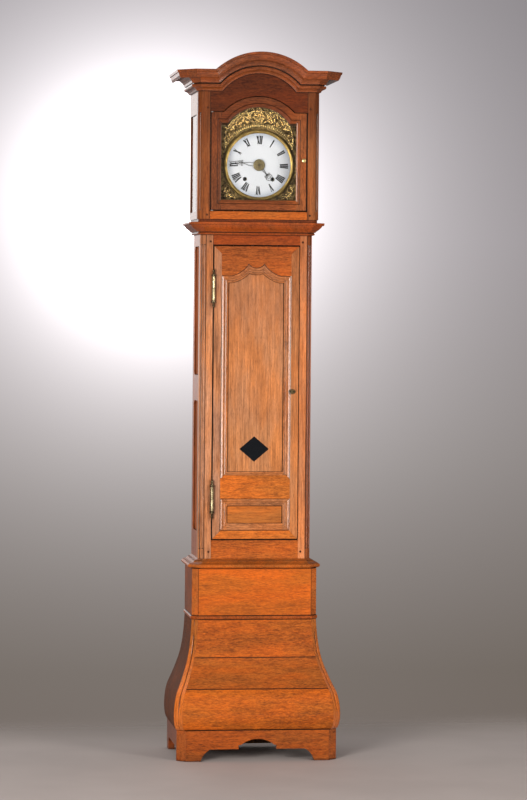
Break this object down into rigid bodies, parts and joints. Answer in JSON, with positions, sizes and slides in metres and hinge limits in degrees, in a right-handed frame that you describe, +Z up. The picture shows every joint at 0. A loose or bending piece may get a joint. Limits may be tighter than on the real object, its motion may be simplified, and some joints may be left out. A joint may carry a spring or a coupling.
{
  "type": "tall case clock",
  "caption": "Tall oak case clock with arched crest, canted corners, panelled trunk door, flared base, enamel dial and a weight-driven pendulum movement.",
  "frame": {"origin": "centre of the floor outline: middle of the width and depth of the whole clock, at the floor", "axes": "+Z up, -Y the front with the dial, +X to the viewer's right, the back lies on the wall plane"},
  "size_m": [0.58, 0.36, 2.45],
  "materials": {
    "hood_oak": "waxed",
    "trunk_oak": "waxed",
    "base_oak": "waxed",
    "inner_oak": "raw",
    "peg_oak": "waxed",
    "brass": "polished",
    "pressed_brass": "satin",
    "enamel": "gloss",
    "window_glass": "clear",
    "black_glass": "gloss",
    "iron": "satin",
    "steel": "satin",
    "cord": "twisted"
  },
  "bodies": {
    "case": {"plinth_apron": "base_oak", "plinth_sides": "base_oak", "bulge_front_boards": "base_oak", "bulge_sides": "base_oak", "bulge_corners": "base_oak", "base_bead": "base_oak", "box_front": "base_oak", "box_sides": "base_oak", "base_top_moulding": "base_oak", "trunk_posts": "trunk_oak", "trunk_rails": "trunk_oak", "trunk_sides": "trunk_oak", "waist_moulding": "trunk_oak", "hinge_pins": "brass", "hood_foot_strip": "hood_oak", "hood_posts": "hood_oak", "hood_top_rail": "hood_oak", "hood_bottom_rail": "hood_oak", "hood_sides": "hood_oak", "hood_side_glasses": "window_glass", "hood_top_board": "inner_oak", "cornice_front": "hood_oak", "cornice_returns": "hood_oak", "hood_hinge_pins": "steel", "back_boards": "inner_oak", "seat_board": "inner_oak", "oak_pegs": "peg_oak", "movement_cage": "iron", "bell": "brass", "dial_enamel": "enamel", "dial_bezel": "brass", "frieze_plate": "pressed_brass"},
    "trunk_door": {"door_stiles": "trunk_oak", "door_rails": "trunk_oak", "door_mouldings": "trunk_oak", "door_panels": "trunk_oak", "door_lozenge_glass": "black_glass", "hinge_barrels": "brass"},
    "door_key": {"door_key": "brass"},
    "hood_door": {"hood_door_frame": "hood_oak", "hood_door_glass": "window_glass"},
    "hood_knob": {"hood_door_knob": "steel"},
    "centre_arbor": {"centre_wheel": "brass", "minute_hand": "brass", "centre_disc": "brass"},
    "hour_pipe": {"hour_hand": "brass"},
    "great_wheel": {"going_great_wheel": "brass"},
    "third_arbor": {"third_wheel": "brass"},
    "escape_arbor": {"escape_wheel": "brass"},
    "anchor": {"anchor": "steel"},
    "pendulum": {"pendulum_rod": "steel", "pendulum_bob": "brass"},
    "going_weight": {"going_weight": "iron", "going_line": "cord"},
    "going_barrel": {"going_barrel": "brass"},
    "striking_weight": {"striking_weight": "iron", "striking_line": "cord"},
    "striking_barrel": {"striking_barrel": "brass"},
    "fly": {"fly": "brass"},
    "hammer": {"hammer": "steel"}
  },
  "joints": [
    {"name": "trunk_door_hinge", "type": "hinge", "parent": "case", "child": "trunk_door", "pos_m": [-0.1517, -0.0508, 1.2], "axis": [0, 0, 1], "range_deg": [-110, 0]},
    {"name": "door_key_turn", "type": "hinge", "parent": "trunk_door", "child": "door_key", "pos_m": [0.1279, -0.044, 1.2716], "axis": [0, 1, 0], "range_deg": [0, 90]},
    {"name": "hood_door_hinge", "type": "hinge", "parent": "case", "child": "hood_door", "pos_m": [-0.1634, -0.0715, 2.08], "axis": [0, 0, 1], "range_deg": [-110, 0]},
    {"name": "hood_knob_turn", "type": "hinge", "parent": "hood_door", "child": "hood_knob", "pos_m": [0.1574, -0.076, 2.0776], "axis": [0, 1, 0], "range_deg": [0, 90]},
    {"name": "minute_hand_turn", "type": "hinge", "parent": "case", "child": "centre_arbor", "pos_m": [0.009, 0.06, 2.0634], "axis": [0, 1, 0], "continuous": true},
    {"name": "hour_hand_turn", "type": "hinge", "parent": "case", "child": "hour_pipe", "pos_m": [0.009, 0, 2.0634], "axis": [0, 1, 0], "continuous": true},
    {"name": "great_wheel_turn", "type": "hinge", "parent": "case", "child": "great_wheel", "pos_m": [0.058, 0.032, 2.0144], "axis": [0, 1, 0], "continuous": true},
    {"name": "third_wheel_turn", "type": "hinge", "parent": "case", "child": "third_arbor", "pos_m": [0.02324, 0.08, 2.10419], "axis": [0, 1, 0], "continuous": true},
    {"name": "escape_wheel_turn", "type": "hinge", "parent": "case", "child": "escape_arbor", "pos_m": [0.009, 0.062, 2.1334], "axis": [0, 1, 0], "continuous": true},
    {"name": "pendulum_swing", "type": "hinge", "parent": "case", "child": "pendulum", "pos_m": [0.009, 0.136, 2.1644], "axis": [0, 1, 0], "range_deg": [-3, 3]},
    {"name": "anchor_rock", "type": "hinge", "parent": "case", "child": "anchor", "pos_m": [0.009, 0.063, 2.1644], "axis": [0, 1, 0], "range_deg": [-3.2, 3.2]},
    {"name": "going_weight_slide", "type": "slide", "parent": "case", "child": "going_weight", "axis": [0, 0, 1], "range_m": [-1.1, 0.35], "deforming": ["going_line"]},
    {"name": "going_barrel_turn", "type": "hinge", "parent": "case", "child": "going_barrel", "pos_m": [0.058, 0.0665, 2.0144], "axis": [0, 1, 0], "range_deg": [-700, 2190]},
    {"name": "striking_weight_slide", "type": "slide", "parent": "case", "child": "striking_weight", "axis": [0, 0, 1], "range_m": [-1.1, 0.35], "deforming": ["striking_line"]},
    {"name": "striking_barrel_turn", "type": "hinge", "parent": "case", "child": "striking_barrel", "pos_m": [-0.04, 0.0665, 2.0144], "axis": [0, 1, 0], "range_deg": [-2190, 700]},
    {"name": "fly_turn", "type": "hinge", "parent": "case", "child": "fly", "pos_m": [-0.04, 0.06, 2.1334], "axis": [0, 1, 0], "continuous": true},
    {"name": "hammer_lift", "type": "hinge", "parent": "case", "child": "hammer", "pos_m": [0.093, 0.0665, 2.2044], "axis": [0, 1, 0], "range_deg": [0, 20]}
  ],
  "couplings": [
    {"joint": "hour_hand_turn", "follows": "minute_hand_turn", "ratio": 0.083333},
    {"joint": "great_wheel_turn", "follows": "minute_hand_turn", "ratio": -0.083333},
    {"joint": "third_wheel_turn", "follows": "minute_hand_turn", "ratio": -8},
    {"joint": "escape_wheel_turn", "follows": "minute_hand_turn", "ratio": 57},
    {"joint": "anchor_rock", "follows": "pendulum_swing", "ratio": 1},
    {"joint": "going_barrel_turn", "follows": "going_weight_slide", "rad_per_m": -34.483},
    {"joint": "striking_barrel_turn", "follows": "striking_weight_slide", "rad_per_m": 34.483}
  ]
}
